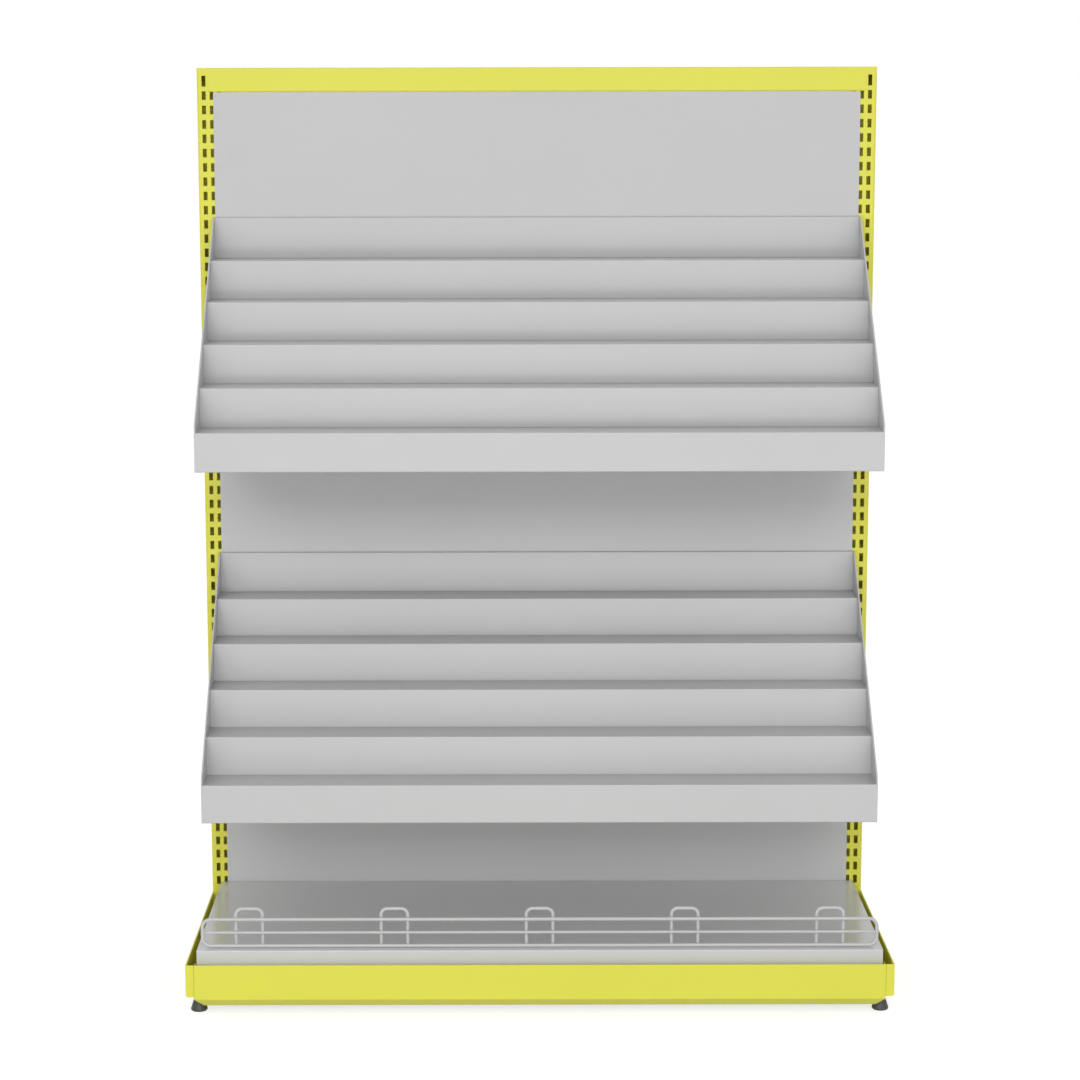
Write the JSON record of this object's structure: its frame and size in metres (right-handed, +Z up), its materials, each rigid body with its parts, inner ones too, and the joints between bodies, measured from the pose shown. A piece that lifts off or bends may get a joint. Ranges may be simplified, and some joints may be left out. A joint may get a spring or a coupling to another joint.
{
  "type": "book display rack",
  "caption": "Single-sided steel display unit for books: slotted uprights, hooked stepped racks, back panels, a base deck and a low wire fence.",
  "frame": {"origin": "on the floor, below the middle of the bounding box", "axes": "+Z up, the front faces -Y, +X to the right seen from the front"},
  "size_m": [1.195, 0.495, 1.583],
  "materials": {
    "yellow_paint": "satin powder coat",
    "grey_paint": "fine matt powder coat",
    "wire_coating": "satin powder coat on wire",
    "black_plastic": "moulded, matt",
    "zinc_steel": "zinc plated"
  },
  "bodies": {
    "frame": {"left_upright": "yellow_paint", "right_upright": "yellow_paint", "top_rail": "yellow_paint", "lower_rail": "grey_paint", "back_panel_lower": "grey_paint", "back_panel_middle": "grey_paint", "back_panel_upper": "grey_paint", "left_base_bracket": "yellow_paint", "right_base_bracket": "yellow_paint", "plinth": "yellow_paint", "bracket_bolts": "zinc_steel", "bracket_nuts": "zinc_steel", "rail_bolts": "zinc_steel", "rail_nuts": "zinc_steel", "plinth_screws": "zinc_steel", "foot_nuts": "zinc_steel"},
    "deck": {"base_deck": "grey_paint", "deck_stiffener": "grey_paint"},
    "fence": {"fence_frame": "wire_coating", "fence_mid_wire": "wire_coating", "fence_arch_1": "wire_coating", "fence_arch_2": "wire_coating", "fence_arch_3": "wire_coating", "fence_arch_4": "wire_coating", "fence_arch_5": "wire_coating"},
    "upper_rack": {"upper_left_end_plate": "grey_paint", "upper_right_end_plate": "grey_paint", "upper_back_sheet": "grey_paint", "upper_step_1": "grey_paint", "upper_step_2": "grey_paint", "upper_step_3": "grey_paint", "upper_step_4": "grey_paint", "upper_step_5": "grey_paint"},
    "lower_rack": {"lower_left_end_plate": "grey_paint", "lower_right_end_plate": "grey_paint", "lower_back_sheet": "grey_paint", "lower_step_1": "grey_paint", "lower_step_2": "grey_paint", "lower_step_3": "grey_paint", "lower_step_4": "grey_paint", "lower_step_5": "grey_paint"},
    "front_left_pad": {"front_left_foot_pad": "black_plastic"},
    "front_left_stem": {"front_left_foot_stem": "zinc_steel"},
    "front_right_pad": {"front_right_foot_pad": "black_plastic"},
    "front_right_stem": {"front_right_foot_stem": "zinc_steel"},
    "rear_left_pad": {"rear_left_foot_pad": "black_plastic"},
    "rear_left_stem": {"rear_left_foot_stem": "zinc_steel"},
    "rear_right_pad": {"rear_right_foot_pad": "black_plastic"},
    "rear_right_stem": {"rear_right_foot_stem": "zinc_steel"}
  },
  "joints": [
    {"name": "deck_lift", "type": "slide", "parent": "frame", "child": "deck", "axis": [0, 0, 1], "range_m": [0, 0.06]},
    {"name": "fence_lift", "type": "slide", "parent": "deck", "child": "fence", "axis": [0, 0, 1], "range_m": [0, 0.04]},
    {"name": "upper_rack_lift", "type": "slide", "parent": "frame", "child": "upper_rack", "axis": [0, 0, 1], "range_m": [0, 0.0074]},
    {"name": "lower_rack_lift", "type": "slide", "parent": "frame", "child": "lower_rack", "axis": [0, 0, 1], "range_m": [0, 0.0074]},
    {"name": "front_left_foot_travel", "type": "slide", "parent": "frame", "child": "front_left_pad", "axis": [0, 0, -1], "range_m": [-0.0035, 0.012]},
    {"name": "front_left_foot_turn", "type": "hinge", "parent": "front_left_pad", "child": "front_left_stem", "pos_m": [-0.5785, -0.2155, 0.05], "axis": [0, 0, -1], "range_deg": [-900, 2940]},
    {"name": "front_right_foot_travel", "type": "slide", "parent": "frame", "child": "front_right_pad", "axis": [0, 0, -1], "range_m": [-0.0035, 0.012]},
    {"name": "front_right_foot_turn", "type": "hinge", "parent": "front_right_pad", "child": "front_right_stem", "pos_m": [0.5785, -0.2155, 0.05], "axis": [0, 0, -1], "range_deg": [-900, 2940]},
    {"name": "rear_left_foot_travel", "type": "slide", "parent": "frame", "child": "rear_left_pad", "axis": [0, 0, -1], "range_m": [-0.0035, 0.012]},
    {"name": "rear_left_foot_turn", "type": "hinge", "parent": "rear_left_pad", "child": "rear_left_stem", "pos_m": [-0.5785, 0.2175, 0.05], "axis": [0, 0, -1], "range_deg": [-900, 2940]},
    {"name": "rear_right_foot_travel", "type": "slide", "parent": "frame", "child": "rear_right_pad", "axis": [0, 0, -1], "range_m": [-0.0035, 0.012]},
    {"name": "rear_right_foot_turn", "type": "hinge", "parent": "rear_right_pad", "child": "rear_right_stem", "pos_m": [0.5785, 0.2175, 0.05], "axis": [0, 0, -1], "range_deg": [-900, 2940]}
  ],
  "couplings": [
    {"joint": "front_left_foot_turn", "follows": "front_left_foot_travel", "rad_per_m": 4188.8},
    {"joint": "front_right_foot_turn", "follows": "front_right_foot_travel", "rad_per_m": 4188.8},
    {"joint": "rear_left_foot_turn", "follows": "rear_left_foot_travel", "rad_per_m": 4188.8},
    {"joint": "rear_right_foot_turn", "follows": "rear_right_foot_travel", "rad_per_m": 4188.8}
  ]
}
